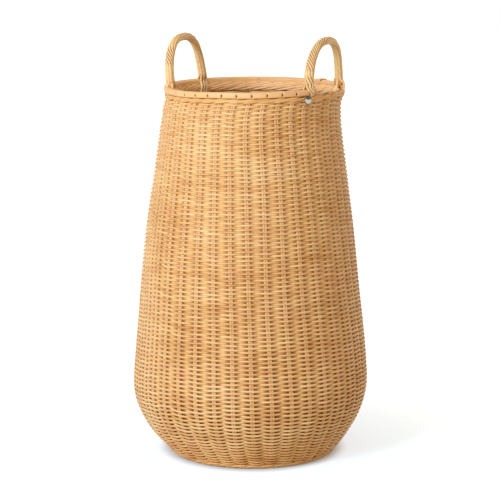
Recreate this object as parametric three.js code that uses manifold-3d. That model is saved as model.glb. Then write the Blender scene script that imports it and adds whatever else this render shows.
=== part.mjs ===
// Rattan laundry basket: a tall, pot-bellied basket of round cane, with a cane rim and two roped handles.
// Units are millimetres and +Z is up. The origin is on the floor, under the middle of the foot.
// The handles stand at +X and -X. Every piece is a closed solid of its own.

import * as THREE from 'three';
import { mergeVertices } from 'three/addons/utils/BufferGeometryUtils.js';
import Module from 'manifold-3d';

const wasm = await Module();
wasm.setup();

// Overall sizes
const rimHeight = 529;           // floor to the top of the rim
const handleHeight = 71;         // top of the rim to the top of the handles
const bellyDiameter = 340;       // widest place, over the crowns of the weave
const bellyHeight = 102;         // height of the widest place
const footDiameter = 235;        // where the side meets the floor
const neckDiameter = 253;        // top of the side weave, just under the rim
const seatGap = 0.3;             // clearance between pieces that lie on each other

// Cane sizes
const weaverDiameter = 3;        // round cane that is woven round the stakes
const stakeRod = 3.1;            // one upright cane; the stakes are pairs of them
const stakeDepth = 3;            // a stake pair, measured across the wall
const stakeCount = 38;
const stakeTwist = THREE.MathUtils.degToRad(6);  // how far the stakes wind round from the neck to the foot

// Relief of the weave
const ribDrop = 1.5;             // how far the weave falls back outside, between two stakes
const innerRibDrop = 0.9;        // the same inside

// Base
const baseLift = 2.5;            // floor to the underside of the base sticks
const baseStickDiameter = 5;
const baseStickCount = 3;        // sticks in each of the two crossing groups
const baseStickPitch = 11;
const baseWeaveInset = 1;        // the sticks stand proud of the base weave, below and above, by this much

// Rim
const rimBandHeight = 8.7;
const rimBandDepth = 5;          // outer band, beside the stakes
const rimLipHeight = 4.7;        // the part of the band that reaches over the stake ends
const rimRound = 2;              // rounded upper edge of the band
const rimChamfer = 1.2;          // broken lower edge of the band
const innerCaneHeight = 7.9;
const innerCaneDepth = 3.2;
const waleHeight = 8;            // twisted course between the rim and the side weave
const waleDepth = 4.6;
const waleTurns = 4;             // full turns of its three strands in one round
const plaitDepth = 3.2;          // twisted course inside the rim
const plaitTurns = 5;
const lashingAngle = THREE.MathUtils.degToRad(61.5);  // the flat cane that binds the rim stands here
const lashingWidth = 10;
const lashingThickness = 1.4;
const lashingOuterDrop = 13;     // below the rim top, outside
const lashingInnerDrop = 22;     // below the rim top, inside

// Handles
const handleLean = THREE.MathUtils.degToRad(5);
const handleStake = 4;           // a handle foot stands just short of this stake, counted from the handle's middle
const bowDiameter = 7.4;         // the bent cane inside the handle
const wrapDiameter = 13.2;       // over the strands
const strandLobes = 5;
const strandTurns = 3.5;         // how often the strands go round the bow between the feet
const strandGrooveShare = 0.86;  // depth of the lay: groove radius over crown radius
const tangWidth = 5;             // the pared ends of the bow, which are pushed into the wall
const tangDepth = 3;
const tangTipShare = 0.7;
const tangLength = 50;           // reach of a tang below the top of the side weave
const tangWeb = 1;               // weave left between a tang and the next stake
const taperRise = 8;             // height above the rim over which the bow is pared down

// Saddles: the strands that lead over the rim at each foot of a handle
const saddleWidth = 9;
const saddleThickness = 2;
const saddleCrown = 4.2;
const saddleOuterDrop = 17;      // below the rim top, outside
const saddleInnerDrop = 24;      // below the rim top, inside

// Stud: the domed metal tack on one handle foot
const studDiameter = 10.6;
const studHeight = 3;
const studEdge = 0.7;
const studShankDiameter = 2.4;
const studShankLength = 6;

// Fineness of the facets
const shoulderLevels = 3;
const flankLevels = 4;
const ringSegments = 52;
const archSteps = 16;
const strandSteps = 32;
const roundSides = 8;
const studSegments = 12;
const cutOverrun = 4;            // how far a cutting solid stands out of what it cuts

// Sizes that follow from the ones above
const rimBottom = rimHeight - rimBandHeight;
const waleTop = rimBottom - seatGap;
const waleMiddle = waleTop - waleHeight / 2;
const wallTop = waleTop - waleHeight - seatGap;
const crownDepth = stakeDepth / 2 + weaverDiameter;
const stakeWidth = 2 * stakeRod;
const stakePitch = 2 * Math.PI / stakeCount;
const neckStakeRadius = neckDiameter / 2 - crownDepth;
const rimInnerFace = neckStakeRadius + stakeDepth / 2 + seatGap;
const rimOuterFace = rimInnerFace + rimBandDepth;
const lipFace = neckStakeRadius - stakeDepth / 2;
const innerCaneOuter = lipFace - seatGap;
const innerCaneInner = innerCaneOuter - innerCaneDepth;
const lipBottom = rimHeight - rimLipHeight;

// The inner faces of a ring of flat facets touch a circle from outside when its corners lie this much further out
const cornerShare = 1 / Math.cos(Math.PI / ringSegments);

const footAngle = stakeAngle(handleStake - 1, wallTop)
  - (stakeWidth / 2 + tangWeb + tangWidth / 2 + 2 * seatGap) / neckStakeRadius;
const legX = neckStakeRadius * Math.cos(footAngle);
const legY = neckStakeRadius * Math.sin(footAngle);
const archRise = (handleHeight - wrapDiameter / 2) / Math.cos(handleLean);

// The canes of the rim end here, under the feet of the right handle. Between them the rim is lower.
const rimEndAngle = footAngle - (tangWidth / 2 + seatGap + tangWeb) / neckStakeRadius;

// Materials

function caneFinish(color, roughness) {
  return new THREE.MeshStandardMaterial({ color, roughness, metalness: 0 });
}

const finishes = {
  weave: () => caneFinish('#dcac74', 0.62),
  stake: () => caneFinish('#e3b57e', 0.6),
  base: () => caneFinish('#c3935c', 0.68),
  rim: () => caneFinish('#f0c691', 0.52),
  wale: () => caneFinish('#dba96c', 0.58),
  bow: () => caneFinish('#c99a62', 0.6),
  strand: () => caneFinish('#e2bd8d', 0.5),
  stud: () => new THREE.MeshStandardMaterial({ color: '#c6c7c2', roughness: 0.28, metalness: 1 }),
};

// Outline of the wall
// From the foot to the belly the radius follows a parabola that ends upright. From the belly to the neck it
// follows a cubic through these pairs: share of the height, and share of the way from belly to neck.
const shoulderShares = [[0, 0], [0.11, 0.06], [0.28, 0.225], [0.51, 0.45], [0.75, 0.74], [0.94, 0.965], [1, 1]];
const shoulderCurve = new THREE.CubicInterpolant(
  shoulderShares.map((pair) => pair[0]),
  shoulderShares.map((pair) => pair[1]),
  1,
);

function outlineRadius(height) {
  if (height < bellyHeight) {
    const share = height / bellyHeight;
    return (footDiameter + (bellyDiameter - footDiameter) * share * (2 - share)) / 2;
  }
  const share = (height - bellyHeight) / (wallTop - bellyHeight);
  return (bellyDiameter + (neckDiameter - bellyDiameter) * shoulderCurve.evaluate(share)[0]) / 2;
}

// The wall is built between these heights, and what stands in it follows the same straight stretches
function wallHeights() {
  const heights = [];
  for (let level = 0; level < flankLevels; level += 1) {
    heights.push(bellyHeight * level / flankLevels);
  }
  for (let level = 0; level <= shoulderLevels; level += 1) {
    heights.push(bellyHeight + (wallTop - bellyHeight) * level / shoulderLevels);
  }
  return heights;
}

const wallLevels = wallHeights();
const facetedRadius = new THREE.LinearInterpolant(wallLevels, wallLevels.map(outlineRadius), 1);

// Radius of the circle on which the stakes stand
function stakeRadius(height) {
  return facetedRadius.evaluate(Math.min(height, wallTop))[0] - crownDepth;
}

// The stakes stand half a pitch off the handles' middles at the neck, and wind round below it
function windAngle(height) {
  return stakeTwist * (1 - Math.min(height, wallTop) / wallTop);
}

function stakeAngle(stake, height) {
  return (stake + 1 / 2) * stakePitch + windAngle(height);
}

function innerWallRadius(height) {
  return stakeRadius(height) - crownDepth + innerRibDrop;
}

// Geometry helpers

function radialPoint(radius, angle) {
  return new THREE.Vector2(radius * Math.cos(angle), radius * Math.sin(angle));
}

// A point beside a spoke: so far out along it, and so far to its left
function spokePoint(angle, out, aside) {
  const along = radialPoint(out, angle);
  const left = radialPoint(aside, angle + Math.PI / 2);
  return along.add(left);
}

function rectangleOnSpoke(angle, radius, width, depth) {
  return [
    spokePoint(angle, radius - depth / 2, -width / 2),
    spokePoint(angle, radius + depth / 2, -width / 2),
    spokePoint(angle, radius + depth / 2, width / 2),
    spokePoint(angle, radius - depth / 2, width / 2),
  ];
}

function geometryFrom(positions, indices) {
  const geometry = new THREE.BufferGeometry();
  geometry.setAttribute('position', new THREE.Float32BufferAttribute(positions, 3));
  geometry.setIndex(indices);
  return geometry;
}

// Two triangles for each side of a ring of points, between two rings that lie next to each other
function addBand(indices, lower, upper, count) {
  for (let index = 0; index < count; index += 1) {
    const next = (index + 1) % count;
    indices.push(lower + index, lower + next, upper + next);
    indices.push(lower + index, upper + next, upper + index);
  }
}

// Closed solid through sections of one layout, each an outline and its holes at a height of its own
function stackSections(sections) {
  const positions = [];
  const indices = [];
  const sizes = sections[0].contours.map((contour) => contour.length);
  const sectionSize = sizes.reduce((sum, size) => sum + size, 0);
  for (const section of sections) {
    for (const point of section.contours.flat()) {
      positions.push(point.x, point.y, section.height);
    }
  }
  for (let level = 1; level < sections.length; level += 1) {
    let start = (level - 1) * sectionSize;
    for (const size of sizes) {
      addBand(indices, start, start + sectionSize, size);
      start += size;
    }
  }
  const top = (sections.length - 1) * sectionSize;
  for (const [section, offset, isTop] of [[sections[0], 0, false], [sections.at(-1), top, true]]) {
    const [outline, ...holes] = section.contours;
    for (const [a, b, c] of THREE.ShapeUtils.triangulateShape(outline, holes)) {
      indices.push(offset + a, offset + (isTop ? b : c), offset + (isTop ? c : b));
    }
  }
  return geometryFrom(positions, indices);
}

// Closed solid through rings of points, which run anticlockwise round the way that the rings follow.
// A looped solid joins its last ring to its first one, and any other is capped from the rings' middles.
function loftRings(rings, looped = false) {
  const count = rings[0].length;
  const positions = rings.flat().flatMap((point) => point.toArray());
  const indices = [];
  const bands = looped ? rings.length : rings.length - 1;
  for (let ring = 0; ring < bands; ring += 1) {
    addBand(indices, ring * count, ((ring + 1) % rings.length) * count, count);
  }
  if (!looped) {
    for (const [ring, isEnd] of [[0, false], [rings.length - 1, true]]) {
      const middle = new THREE.Vector3();
      rings[ring].forEach((point) => middle.addScaledVector(point, 1 / count));
      const centre = positions.length / 3;
      positions.push(...middle.toArray());
      for (let index = 0; index < count; index += 1) {
        const here = ring * count + index;
        const next = ring * count + (index + 1) % count;
        indices.push(centre, isEnd ? here : next, isEnd ? next : here);
      }
    }
  }
  return geometryFrom(positions, indices);
}

// Ring about the vertical axis, revolved from a profile of radius and height that runs anticlockwise
function revolve(profile, segments) {
  const points = profile.map(([radius, height]) => new THREE.Vector2(radius, height));
  if (profile[0][0] > 0) {
    points.push(points[0].clone());
  }
  return new THREE.LatheGeometry(points, segments).rotateX(Math.PI / 2);
}

function toSolid(geometry) {
  const bare = geometry.clone();
  bare.deleteAttribute('normal');
  bare.deleteAttribute('uv');
  const merged = mergeVertices(bare);
  return new wasm.Manifold(new wasm.Mesh({
    numProp: 3,
    vertProperties: new Float32Array(merged.attributes.position.array),
    triVerts: new Uint32Array(merged.index.array),
  }));
}

function fromSolid(solid) {
  const mesh = solid.getMesh();
  return geometryFrom(Array.from(mesh.vertProperties), Array.from(mesh.triVerts));
}

function cutAway(geometry, tools) {
  const body = tools.reduce((rest, tool) => rest.subtract(toSolid(tool)), toSolid(geometry));
  return fromSolid(body);
}

const basket = new THREE.Group();

function addPiece(name, geometry, finish, owner = basket) {
  const mesh = new THREE.Mesh(geometry, finish());
  mesh.name = name;
  owner.add(mesh);
  return mesh;
}

// Side weave: one wall with a rib over each stake, outside and inside, and a channel along each stake

function wallSection(height) {
  const radius = stakeRadius(height);
  const crown = radius + crownDepth;
  const outline = [];
  const opening = [];
  const channels = [];
  for (let stake = 0; stake < stakeCount; stake += 1) {
    const angle = stakeAngle(stake, height);
    outline.push(spokePoint(angle, crown, -stakeWidth / 2));
    outline.push(spokePoint(angle, crown, stakeWidth / 2));
    outline.push(radialPoint(crown - ribDrop, angle + stakePitch / 2));
    opening.unshift(radialPoint(innerWallRadius(height), angle + stakePitch / 2));
    const channel = rectangleOnSpoke(angle, radius, stakeWidth + 2 * seatGap, stakeDepth + 2 * seatGap);
    channels.push(channel.reverse());
  }
  return { height, contours: [outline, opening, ...channels] };
}

// Stakes: pairs of upright canes, from the foot to the underside of the rim's lip. Those between the feet of
// the right handle are trimmed level with the wale.

function stakeTop(stake) {
  const isTrimmed = Math.cos(stakeAngle(stake, wallTop)) > Math.cos(rimEndAngle);
  return isTrimmed ? waleTop : lipBottom - seatGap;
}

function stakeRing(stake, height) {
  const section = rectangleOnSpoke(stakeAngle(stake, height), stakeRadius(height), stakeWidth, stakeDepth);
  return section.map((point) => new THREE.Vector3(point.x, point.y, height));
}

function stakeGeometry(stake) {
  const heights = [seatGap, ...wallLevels.slice(1), stakeTop(stake)];
  return loftRings(heights.map((height) => stakeRing(stake, height)));
}

for (let stake = 0; stake < stakeCount; stake += 1) {
  const label = String(stake + 1).padStart(2, '0');
  addPiece(`stake_${label}`, stakeGeometry(stake), finishes.stake);
}

// Base: a round woven mat over a cross of sticks, which lie in channels on its underside and its top

const lowerStickMiddle = baseLift + baseStickDiameter / 2;
const upperStickMiddle = lowerStickMiddle + baseStickDiameter + seatGap;
const baseBottom = baseLift + baseWeaveInset;
const baseTop = upperStickMiddle + baseStickDiameter / 2 - baseWeaveInset;

// A flat facet of the round wall lies this much nearer to the axis than its corners
const flatShare = Math.cos(stakePitch / 2);

function baseEdge(height) {
  return innerWallRadius(height) - seatGap;
}

function baseStickShape(height, aside, radius) {
  const reach = Math.sqrt(baseEdge(height - radius) ** 2 - (Math.abs(aside) + radius) ** 2) * flatShare;
  const rod = new THREE.CylinderGeometry(radius, radius, 2 * reach, roundSides);
  return rod.rotateY(Math.PI / roundSides).rotateZ(Math.PI / 2).translate(0, aside, height);
}

function baseStickPlaces() {
  const places = [];
  for (let stick = 0; stick < baseStickCount; stick += 1) {
    places.push((stick - (baseStickCount - 1) / 2) * baseStickPitch);
  }
  return places;
}

function stickChannel(aside, isUpper) {
  const width = baseStickDiameter + 2 * seatGap;
  const height = baseStickDiameter + seatGap + cutOverrun;
  const middle = isUpper ? upperStickMiddle : lowerStickMiddle;
  const inward = isUpper ? cutOverrun / 2 - seatGap / 2 : seatGap / 2 - cutOverrun / 2;
  const channel = new THREE.BoxGeometry(bellyDiameter, width, height).translate(0, aside, middle + inward);
  return isUpper ? channel.rotateZ(Math.PI / 2) : channel;
}

function baseSection(height) {
  const outline = [];
  for (let stake = 0; stake < stakeCount; stake += 1) {
    outline.push(radialPoint(baseEdge(height), stakeAngle(stake, height) + stakePitch / 2));
  }
  return { height, contours: [outline] };
}

function baseWeaveGeometry() {
  const mat = stackSections([baseSection(baseBottom), baseSection(baseTop)]);
  const channels = baseStickPlaces().flatMap((aside) => [stickChannel(aside, false), stickChannel(aside, true)]);
  return cutAway(mat, channels);
}

addPiece('base_weave', baseWeaveGeometry(), finishes.base);
baseStickPlaces().forEach((aside, index) => {
  const lower = baseStickShape(lowerStickMiddle, aside, baseStickDiameter / 2);
  const upper = baseStickShape(upperStickMiddle, aside, baseStickDiameter / 2).rotateZ(Math.PI / 2);
  addPiece(`base_stick_lower_${index + 1}`, lower, finishes.base);
  addPiece(`base_stick_upper_${index + 1}`, upper, finishes.base);
});

// Handle bow: a bent cane in a plane that leans outwards, with flat tangs that stand in the wall

const archUp = new THREE.Vector3(Math.sin(handleLean), 0, Math.cos(handleLean));
const archOut = new THREE.Vector3(Math.cos(handleLean), 0, -Math.sin(handleLean));
const archFoot = new THREE.Vector3(legX, 0, rimHeight);

// Place on the half ellipse of the arch, and the way that points out of it in its plane
function archPoint(turn) {
  const middle = archFoot.clone();
  middle.y = legY * Math.cos(turn);
  middle.addScaledVector(archUp, archRise * Math.sin(turn));
  const away = archUp.clone().multiplyScalar(legY * Math.sin(turn));
  away.y = archRise * Math.cos(turn);
  return { middle, away: away.normalize() };
}

// First turn of the arch at which the whole section clears this height above the rim
function archStart(height) {
  const rise = height + wrapDiameter / 2 * Math.sin(handleLean);
  return Math.asin(rise / archRise);
}

function archRing(turn, sides, radiusAt, phase = 0) {
  const { middle, away } = archPoint(turn);
  const ring = [];
  for (let side = 0; side < sides; side += 1) {
    const angle = phase + 2 * Math.PI * side / sides;
    const radius = radiusAt(side);
    const point = middle.clone().addScaledVector(archOut, radius * Math.cos(angle));
    ring.push(point.addScaledVector(away, radius * Math.sin(angle)));
  }
  return ring;
}

// Ring of a tang at a height; side is 1 for the foot at +Y and -1 for the one at -Y
function tangRing(side, height, width, depth) {
  const angle = side * footAngle + windAngle(height);
  const radius = stakeRadius(height);
  const ring = [];
  for (let corner = 0; corner < roundSides; corner += 1) {
    const turn = 2 * Math.PI * corner / roundSides;
    const out = radius + depth / 2 * Math.cos(turn);
    const point = spokePoint(angle, out, side * width / 2 * Math.sin(turn));
    ring.push(new THREE.Vector3(point.x, point.y, height));
  }
  return ring;
}

// Rings of the bow from tip to tip, grown by a margin all round
function bowRings(margin) {
  const width = tangWidth + 2 * margin;
  const depth = tangDepth + 2 * margin;
  const tip = wallTop - tangLength - margin;
  const tangRings = (side) => [
    tangRing(side, tip, width * tangTipShare, depth * tangTipShare),
    tangRing(side, tip + tangLength / 2, width, depth),
    tangRing(side, wallTop, width, depth),
    tangRing(side, rimHeight, width, depth),
  ];
  const first = archStart(taperRise);
  const arch = [];
  for (let step = 0; step <= archSteps; step += 1) {
    const turn = first + (Math.PI - 2 * first) * step / archSteps;
    arch.push(archRing(turn, roundSides, () => bowDiameter / 2 + margin));
  }
  return [...tangRings(1), ...arch, ...tangRings(-1).reverse()];
}

const bowRoom = loftRings(bowRings(seatGap));

// Handle wrap: strands laid round the bow like a rope, with a saddle over the rim at each foot

function strandLay() {
  const first = archStart(seatGap);
  const crown = wrapDiameter / 2;
  const rings = [];
  for (let step = 0; step <= strandSteps; step += 1) {
    const share = step / strandSteps;
    const radiusAt = (side) => (side % 2 === 0 ? crown : crown * strandGrooveShare);
    const phase = -2 * Math.PI * strandTurns * share;
    rings.push(archRing(first + (Math.PI - 2 * first) * share, 2 * strandLobes, radiusAt, phase));
  }
  return loftRings(rings);
}

// A flat piece that lies over the rim like a saddle, with one leg down the outside and one down the inside
function overRim(angle, width, thickness, crownHeight, outerDrop, innerDrop) {
  const outerNear = rimOuterFace + seatGap;
  const outerFar = outerNear + thickness;
  const innerNear = innerCaneInner / cornerShare - seatGap;
  const innerFar = innerNear - thickness;
  const underside = rimHeight + seatGap;
  const crown = underside + crownHeight;
  const shape = new THREE.Shape();
  shape.moveTo(innerFar, rimHeight - innerDrop);
  shape.lineTo(innerNear, rimHeight - innerDrop);
  shape.lineTo(innerNear, underside);
  shape.lineTo(outerNear, underside);
  shape.lineTo(outerNear, rimHeight - outerDrop);
  shape.lineTo(outerFar, rimHeight - outerDrop);
  shape.lineTo(outerFar, underside);
  shape.lineTo(outerFar - thickness, crown);
  shape.lineTo(innerFar + thickness, crown);
  shape.lineTo(innerFar, underside);
  const saddle = new THREE.ExtrudeGeometry(shape, { depth: width, bevelEnabled: false });
  return saddle.rotateX(Math.PI / 2).translate(0, width / 2, 0).rotateZ(angle);
}

function saddleGeometry(angle) {
  return overRim(angle, saddleWidth, saddleThickness, saddleCrown, saddleOuterDrop, saddleInnerDrop);
}

function wrapGeometry(cuts) {
  const saddles = [footAngle, -footAngle].map(saddleGeometry);
  const whole = saddles.reduce((body, saddle) => body.add(toSolid(saddle)), toSolid(strandLay()));
  return cutAway(fromSolid(whole), [bowRoom, ...cuts]);
}

// Stud: a domed head on a short shank, driven through the saddle into the wale

const studSeat = rimOuterFace + seatGap + saddleThickness + seatGap;

// Turns a shape whose axis is the row's vertical to lie along a spoke, with its zero at a radius
function laidOnSpoke(geometry, angle, radius, height) {
  return geometry.rotateY(Math.PI / 2).translate(radius, 0, height).rotateZ(angle);
}

function studGeometry() {
  const shank = studShankDiameter / 2;
  const head = studDiameter / 2;
  const profile = [[0, -studShankLength], [shank, -studShankLength], [shank, 0], [head, 0]];
  const domeSteps = 4;
  for (let step = 0; step <= domeSteps; step += 1) {
    const turn = Math.PI / 2 * step / domeSteps;
    const dome = studHeight - studEdge;
    profile.push([head * Math.cos(turn), studEdge + dome * Math.sin(turn)]);
  }
  profile.at(-1)[0] = 0;
  return laidOnSpoke(revolve(profile, studSegments), -footAngle, studSeat, waleMiddle);
}

function studRoom() {
  const radius = studShankDiameter / 2 + seatGap;
  const length = studShankLength + seatGap + cutOverrun;
  const hole = new THREE.CylinderGeometry(radius, radius, length, studSegments).rotateX(Math.PI / 2);
  return laidOnSpoke(hole.translate(0, 0, cutOverrun - length / 2), -footAngle, studSeat, waleMiddle);
}

addPiece('stud', studGeometry(), finishes.stud);

for (const [label, turn, cuts] of [['right', 0, [studRoom()]], ['left', Math.PI, []]]) {
  const handle = new THREE.Group();
  handle.rotation.z = turn;
  addPiece(`handle_bow_${label}`, loftRings(bowRings(0)), finishes.bow, handle);
  addPiece(`handle_wrap_${label}`, wrapGeometry(cuts), finishes.strand, handle);
  basket.add(handle);
}

// Side weave and rim, with room for the tangs of both handles

const tangRooms = [bowRoom, bowRoom.clone().rotateZ(Math.PI)];

addPiece('side_weave', cutAway(stackSections(wallLevels.map(wallSection)), tangRooms), finishes.weave);

function rimBandGeometry() {
  const inner = rimInnerFace * cornerShare;
  const lip = lipFace * cornerShare;
  return revolve([
    [inner, rimBottom],
    [rimOuterFace - rimChamfer, rimBottom],
    [rimOuterFace, rimBottom + rimChamfer],
    [rimOuterFace, rimHeight - rimRound],
    [rimOuterFace - rimRound, rimHeight],
    [lip, rimHeight],
    [lip, lipBottom],
    [inner, lipBottom],
  ], ringSegments);
}

function innerCaneGeometry() {
  const top = rimBottom + innerCaneHeight;
  return revolve([
    [innerCaneInner, rimBottom],
    [innerCaneOuter, rimBottom],
    [innerCaneOuter, top],
    [innerCaneInner + rimChamfer, top],
    [innerCaneInner, top - rimChamfer],
  ], ringSegments);
}

// Room between the feet of the right handle, where the rim has no canes: a wedge from the axis outwards
function rimGap() {
  const reach = bellyDiameter / Math.cos(rimEndAngle);
  const bottom = rimBottom - seatGap / 2;
  const wedge = new THREE.Shape([
    new THREE.Vector2(0, 0),
    radialPoint(reach, -rimEndAngle),
    radialPoint(reach, rimEndAngle),
  ]);
  const depth = rimHeight + cutOverrun - bottom;
  return new THREE.ExtrudeGeometry(wedge, { depth, bevelEnabled: false }).translate(0, 0, bottom);
}

addPiece('rim_band', cutAway(rimBandGeometry(), [rimGap(), ...tangRooms]), finishes.rim);
addPiece('rim_inner_cane', cutAway(innerCaneGeometry(), [rimGap()]), finishes.rim);

// Lashing: a flat cane bound over the rim
const lashing = overRim(
  lashingAngle,
  lashingWidth,
  lashingThickness,
  lashingThickness,
  lashingOuterDrop,
  lashingInnerDrop,
);
addPiece('rim_lashing', lashing, finishes.rim);

// Twisted courses: three strands that turn round each other as they go round the basket

function twistedRing(radius, depth, turns) {
  const strandCorners = 6;
  const rings = [];
  for (let segment = 0; segment < ringSegments; segment += 1) {
    const angle = 2 * Math.PI * segment / ringSegments;
    const ring = [];
    for (let corner = 0; corner < strandCorners; corner += 1) {
      const turn = turns * angle - 2 * Math.PI * corner / strandCorners;
      const reach = corner % 2 === 0 ? 1 : strandGrooveShare;
      const place = radialPoint(radius + depth / 2 * reach * Math.cos(turn), angle);
      ring.push(new THREE.Vector3(place.x, place.y, waleMiddle + waleHeight / 2 * reach * Math.sin(turn)));
    }
    rings.push(ring);
  }
  return loftRings(rings, true);
}

const waleRadius = rimInnerFace * cornerShare + waleDepth / 2;
const plaitRadius = innerCaneOuter - plaitDepth / 2;

addPiece('top_wale', cutAway(twistedRing(waleRadius, waleDepth, waleTurns), [studRoom()]), finishes.wale);
addPiece('inner_plait', twistedRing(plaitRadius, plaitDepth, plaitTurns), finishes.wale);

export default basket;
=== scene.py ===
import math

import bpy
import numpy as np
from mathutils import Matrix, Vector


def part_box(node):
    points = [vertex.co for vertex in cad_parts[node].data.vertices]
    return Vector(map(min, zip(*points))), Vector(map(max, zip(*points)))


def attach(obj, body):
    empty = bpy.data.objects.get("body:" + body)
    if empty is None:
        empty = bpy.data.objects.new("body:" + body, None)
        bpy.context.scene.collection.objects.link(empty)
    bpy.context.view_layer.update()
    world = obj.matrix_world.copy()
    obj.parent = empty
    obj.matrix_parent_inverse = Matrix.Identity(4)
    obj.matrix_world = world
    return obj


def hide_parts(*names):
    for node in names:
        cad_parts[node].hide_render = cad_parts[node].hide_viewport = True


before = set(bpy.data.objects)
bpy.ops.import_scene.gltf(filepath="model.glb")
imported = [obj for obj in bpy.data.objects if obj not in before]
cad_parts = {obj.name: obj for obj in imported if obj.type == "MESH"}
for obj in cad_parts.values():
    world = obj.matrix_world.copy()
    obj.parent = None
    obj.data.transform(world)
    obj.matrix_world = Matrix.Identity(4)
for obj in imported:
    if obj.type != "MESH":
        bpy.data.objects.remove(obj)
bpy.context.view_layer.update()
print("frame loaded:", len(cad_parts), "nodes")

# All sizes are in millimetres until a mesh is made
mm = 0.001
scene = bpy.context.scene
viewAzimuth = math.radians(22.5)  # the photo's right, from +X towards +Y


def spanOf(node):
    low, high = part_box(node)
    return np.array(low) / mm, np.array(high) / mm


def middleOf(node):
    low, high = spanOf(node)
    return (low + high) / 2


# Shape helpers

def throughPoints(x, places, values, firstSlope=None):
    # cubic Hermite curve, with each slope taken from its neighbours
    places, values = np.asarray(places, float), np.asarray(values, float)
    slopes = np.gradient(values, places)
    if firstSlope is not None:
        slopes[0] = firstSlope
    x = np.clip(x, places[0], places[-1])
    cell = np.clip(np.searchsorted(places, x, side="right") - 1, 0, len(places) - 2)
    width = places[cell + 1] - places[cell]
    t = (x - places[cell]) / width
    start = (1 + 2 * t) * (1 - t) ** 2 * values[cell] + t * (1 - t) ** 2 * width * slopes[cell]
    end = t * t * (3 - 2 * t) * values[cell + 1] - t * t * (1 - t) * width * slopes[cell + 1]
    return start + end


def easeIn(x, start, end):
    # smooth step from 0 at start to 1 at end
    t = np.clip((x - start) / (end - start), 0, 1)
    return t * t * (3 - 2 * t)


def unit(vectors):
    return vectors / np.linalg.norm(vectors, axis=-1, keepdims=True)


def onSpoke(angle, radius, height):
    # cylinder coordinates to x, y, z
    return np.stack([radius * np.cos(angle), radius * np.sin(angle), height + 0 * angle], axis=-1)


def summed(waves):
    # random waves together, brought to about 1 at most
    waves = list(waves)
    return sum(waves) / math.sqrt(len(waves)) / 1.4


def softNoise(seed, count, turnsMost, heightMost):
    # waves round the basket and up it, with whole numbers of waves in a turn
    rng = np.random.default_rng(seed)
    turns = rng.integers(1, turnsMost + 1, count)
    climbs = rng.uniform(-heightMost, heightMost, count)
    phases = rng.uniform(0, 2 * np.pi, count)
    return lambda angle, height: summed(
        np.sin(turn * angle + climb * height + phase) for turn, climb, phase in zip(turns, climbs, phases))


def lineNoise(seed, count, waveMost):
    # waves along one strand
    rng = np.random.default_rng(seed)
    waves = rng.uniform(waveMost / 6, waveMost, count)
    phases = rng.uniform(0, 2 * np.pi, count)
    return lambda x: summed(np.sin(wave * x + phase) for wave, phase in zip(waves, phases))


# The basket isn't quite straight: its foot and its rim have settled aside
settle = {
    "heights": [0, 12, 34, 60, 105, 160, 200, 240, 300, 345, 400, 485, 500, 512, 524, 534, 550, 620],
    "right": [3.2, 3.2, 0.8, 0.1, 0.5, 0.8, 0.6, -0.1, -0.3, 0.1, 0.9, 2.0, 3.0, 6.0, 7.0, 6.3, 5.2, 5.2],
    "front": [3.4, 3.0, 1.2, 0.3] + 14 * [0],
    "rimFrom": (380, 520), "rimUntil": (530, 580),
    # the rim is higher at its front right and lower at its front left
    "rises": ((1.9, 1, (-30, 70), (-60, 40)), (-2.2, -1, (40, 110), (-30, 40))),
}
rightWay, frontWay = onSpoke(viewAzimuth, 1, 0), onSpoke(viewAzimuth - np.pi / 2, 1, 0)


def settled(points):
    height = points[..., 2]
    moved = points.copy()
    for way, shifts in ((rightWay, settle["right"]), (frontWay, settle["front"])):
        moved += throughPoints(height, settle["heights"], shifts)[..., None] * way
    near = easeIn(height, *settle["rimFrom"]) * (1 - easeIn(height, *settle["rimUntil"]))
    for rise, side, across, forward in settle["rises"]:
        moved[..., 2] += rise * near * easeIn(side * points @ rightWay, *across) * easeIn(points @ frontWay, *forward)
    return moved


# Mesh helpers

def gridFaces(columns, rows, looped=False):
    # quads of a grid of points, column by column, each joined to a ring
    i, j = np.arange(columns if looped else columns - 1), np.arange(rows)
    i, j = (part.ravel() for part in np.meshgrid(i, j, indexing="ij"))
    nextI, nextJ = (i + 1) % columns, (j + 1) % rows
    corners = np.stack([i * rows + j, i * rows + nextJ, nextI * rows + nextJ, nextI * rows + j], axis=-1)
    places = np.stack([np.stack([i, i, i + 1, i + 1], -1), np.stack([j, j + 1, j + 1, j], -1)], axis=-1)
    return corners, places


def placeObject(name, data):
    made = bpy.data.objects.new(name, data)
    scene.collection.objects.link(made)
    return made


def buildMesh(name, points, quads, quadUv, caps, depth=0.0):
    # the UV is in metres along and shares round
    mesh = bpy.data.meshes.new(name)
    flatPoints = (settled(points.reshape(-1, 3)) * mm).astype(np.float32)
    loops = np.concatenate([quads.ravel(), caps.ravel()]).astype(np.int32)
    starts = np.concatenate([np.arange(len(quads)) * 4, quads.size + np.arange(len(caps)) * caps.shape[1]])
    mesh.vertices.add(len(flatPoints))
    mesh.vertices.foreach_set("co", flatPoints.ravel())
    mesh.loops.add(len(loops))
    mesh.loops.foreach_set("vertex_index", loops)
    mesh.polygons.add(len(quads) + len(caps))
    mesh.polygons.foreach_set("loop_start", starts.astype(np.int32))
    smooth = np.concatenate([np.ones(len(quads), bool), np.zeros(len(caps), bool)])
    mesh.polygons.foreach_set("use_smooth", smooth)
    mesh.update(calc_edges=True)
    uvLayer = mesh.uv_layers.new(name="caneUv")
    uv = np.concatenate([quadUv.reshape(-1, 2), np.full((caps.size, 2), 0.5)]).astype(np.float32)
    uvLayer.uv.foreach_set("vector", uv.ravel())
    # the depth attribute holds how much painted shade each point gets
    shade = mesh.attributes.new("depth", "FLOAT", "POINT")
    shade.data.foreach_set("value", np.broadcast_to(depth, points.shape[:-1]).ravel().astype(np.float32))
    return placeObject(name, mesh)


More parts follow.
